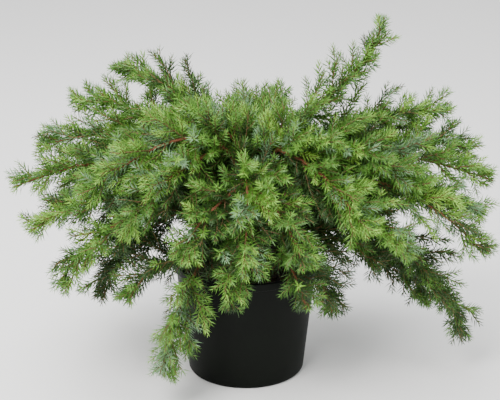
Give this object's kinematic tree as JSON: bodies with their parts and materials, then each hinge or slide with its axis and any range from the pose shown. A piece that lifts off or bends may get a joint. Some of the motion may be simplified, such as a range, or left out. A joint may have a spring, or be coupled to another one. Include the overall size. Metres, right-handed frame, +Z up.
{
  "type": "potted creeping juniper",
  "caption": "Low spreading evergreen shrub with arching needled branches, weeping sides and one upright leader, in a round tapered black nursery pot.",
  "frame": {"origin": "centre of the pot's flat underside", "axes": "+Z up, the side seen in the picture faces -Y, the tall upright shoot leans to +X"},
  "size_m": [0.5982, 0.3903, 0.4428],
  "materials": {
    "pot_plastic": "matte",
    "compost": "rough",
    "bark": "rough",
    "needles": "satin"
  },
  "bodies": {
    "root": {"bough_back_left_low": "bark", "bough_back_right_low": "bark", "bough_back_upper": "bark", "bough_front_left_weeping": "bark", "bough_front_right_weeping": "bark", "bough_front_upper": "bark", "bough_left_back": "bark", "bough_left_low": "bark", "bough_left_spread": "bark", "bough_left_top": "bark", "bough_left_upper": "bark", "bough_right_back": "bark", "bough_right_leader": "bark", "bough_right_low": "bark", "bough_right_spread": "bark", "bough_right_upper": "bark", "bough_right_weeping": "bark", "compost": "compost", "foliage_back_left_low": "needles", "foliage_back_left_low_fork": "needles", "foliage_back_right_low": "needles", "foliage_back_right_low_fork": "needles", "foliage_back_upper": "needles", "foliage_back_upper_fork": "needles", "foliage_crown_back": "needles", "foliage_crown_top": "needles", "foliage_front_left_weeping": "needles", "foliage_front_left_weeping_fork": "needles", "foliage_front_right_weeping": "needles", "foliage_front_right_weeping_fork": "needles", "foliage_front_right_weeping_second_fork": "needles", "foliage_front_upper": "needles", "foliage_front_upper_fork": "needles", "foliage_front_upper_second_fork": "needles", "foliage_front_weeping": "needles", "foliage_left_back": "needles", "foliage_left_back_fork": "needles", "foliage_left_low": "needles", "foliage_left_low_fork": "needles", "foliage_left_spread": "needles", "foliage_left_spread_fork": "needles", "foliage_left_top": "needles", "foliage_left_top_fork": "needles", "foliage_left_top_second_fork": "needles", "foliage_left_upper": "needles", "foliage_left_upper_fork": "needles", "foliage_right_back": "needles", "foliage_right_back_fork": "needles", "foliage_right_leader": "needles", "foliage_right_low": "needles", "foliage_right_low_fork": "needles", "foliage_right_low_second_fork": "needles", "foliage_right_spread": "needles", "foliage_right_spread_fork": "needles", "foliage_right_upper": "needles", "foliage_right_upper_fork": "needles", "foliage_right_weeping": "needles", "foliage_right_weeping_fork": "needles", "pot": "pot_plastic", "trunk": "bark"}
  },
  "joints": []
}
